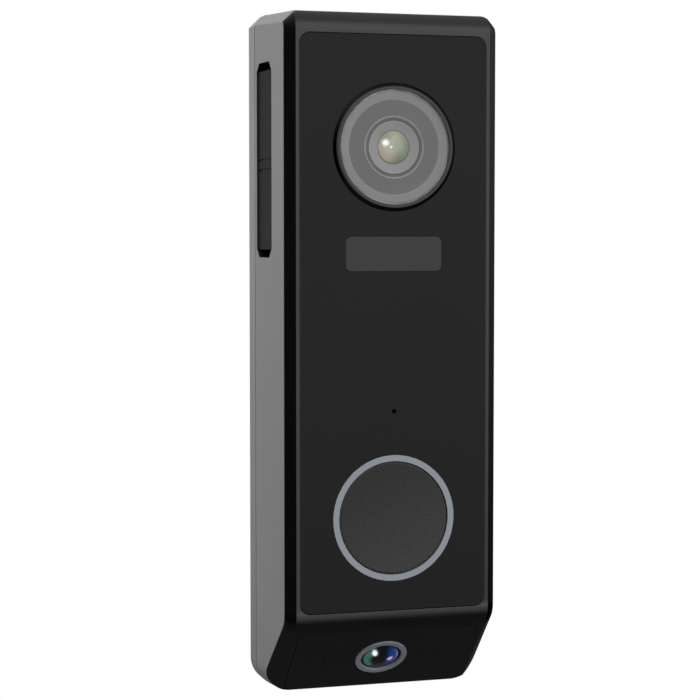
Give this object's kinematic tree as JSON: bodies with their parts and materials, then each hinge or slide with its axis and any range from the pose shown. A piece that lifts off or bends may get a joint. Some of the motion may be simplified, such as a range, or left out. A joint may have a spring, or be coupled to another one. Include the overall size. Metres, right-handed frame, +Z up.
{
  "type": "video doorbell",
  "caption": "Slim upright video doorbell with a slanted chin, round camera windows, a large push button in a pale light ring and a hinged rubber cover over its side ports.",
  "frame": {"origin": "middle of the bracket's flat face on the wall, midway between the two wall screws", "axes": "+X to the viewer's right, +Y from the front into the wall, +Z up"},
  "size_m": [0.0496, 0.0312, 0.1494],
  "materials": {
    "housing_grey": "fine satin",
    "panel_black": "satin",
    "trim_black": "gloss",
    "button_black": "fine matte grain",
    "light_ring": "translucent diffuser",
    "window_clear": "clear",
    "sensor_window": "smooth satin",
    "lens_glass": "coated",
    "hood_grey": "satin",
    "lens_barrel": "satin",
    "ring_grey": "satin",
    "infrared_window": "gloss",
    "port_rubber": "matte",
    "seal_rubber": "matte",
    "membrane_rubber": "matte",
    "tape_foam": "matte",
    "bracket_black": "matte",
    "screw_steel": "plain",
    "shield_steel": "tinned",
    "board_green": "solder mask",
    "chip_black": "matte",
    "led_lens": "clear resin",
    "holder_black": "matte",
    "flex_amber": "smooth",
    "antenna_metal": "plated",
    "battery_wrap": "shrink sleeve",
    "plug_white": "plain",
    "lead_red": "plain",
    "speaker_black": "matte"
  },
  "bodies": {
    "case": {"main_housing": "housing_grey", "front_panel": "panel_black", "panel_tape": "tape_foam", "chin_panel": "panel_black", "chin_ir_windows": "infrared_window", "rear_cover": "housing_grey", "rear_seal": "seal_rubber", "case_screws": "screw_steel", "wall_bracket": "bracket_black", "security_screw": "screw_steel", "camera_bezel": "trim_black", "camera_hood": "hood_grey", "camera_window": "window_clear", "lens_barrel": "lens_barrel", "front_lens": "lens_glass", "rear_lens": "lens_glass", "camera_holder": "holder_black", "image_sensor": "chip_black", "camera_board": "board_green", "ir_leds": "led_lens", "ir_led_board": "board_green", "pir_window": "sensor_window", "pir_sensor": "shield_steel", "microphone": "shield_steel", "mic_boot": "seal_rubber", "button_light_ring": "light_ring", "switch_body": "chip_black", "button_board": "board_green", "button_board_screws": "screw_steel", "ring_leds": "led_lens", "button_membrane": "membrane_rubber", "main_board": "board_green", "board_screws": "screw_steel", "shield_can": "shield_steel", "antenna_strip": "antenna_metal", "port_anchor": "port_rubber", "usb_connector": "shield_steel", "card_slot": "shield_steel", "reset_switch": "chip_black", "chin_trim_ring": "ring_grey", "chin_lens_barrel": "holder_black", "chin_lens": "lens_glass", "chin_camera_holder": "holder_black", "chin_sensor": "chip_black", "chin_camera_board": "board_green", "chin_ir_leds": "led_lens", "chin_camera_flex": "flex_amber", "battery_pack": "battery_wrap", "battery_plug": "plug_white", "battery_lead": "lead_red", "speaker": "speaker_black", "speaker_gasket": "seal_rubber"},
    "button": {"button_cap": "button_black"},
    "switch": {"switch_stem": "plug_white"},
    "upper_flap": {"upper_flap": "port_rubber"},
    "lower_flap": {"lower_flap": "port_rubber"},
    "reset": {"reset_plunger": "plug_white"}
  },
  "joints": [
    {"name": "button_press", "type": "slide", "parent": "case", "child": "button", "axis": [0, 1, 0], "range_m": [0, 0.0005], "stiffness_N_per_m": 2000, "deforming": ["button_membrane"]},
    {"name": "switch_press", "type": "slide", "parent": "case", "child": "switch", "axis": [0, 1, 0], "range_m": [0, 0.0005]},
    {"name": "upper_flap_hinge", "type": "hinge", "parent": "case", "child": "upper_flap", "pos_m": [-0.02409, -0.01403, 0.04292], "axis": [0.0462, -0.9989, 0], "range_deg": [0, 90], "stiffness_Nm_per_rad": 0.004},
    {"name": "lower_flap_hinge", "type": "hinge", "parent": "case", "child": "lower_flap", "pos_m": [-0.02409, -0.01403, 0.04029], "axis": [-0.0462, 0.9989, 0], "range_deg": [0, 90], "stiffness_Nm_per_rad": 0.004},
    {"name": "reset_press", "type": "slide", "parent": "case", "child": "reset", "axis": [0.9989, 0.0462, 0], "range_m": [0, 0.0004], "stiffness_N_per_m": 500}
  ],
  "couplings": [
    {"joint": "switch_press", "follows": "button_press", "ratio": 1}
  ]
}
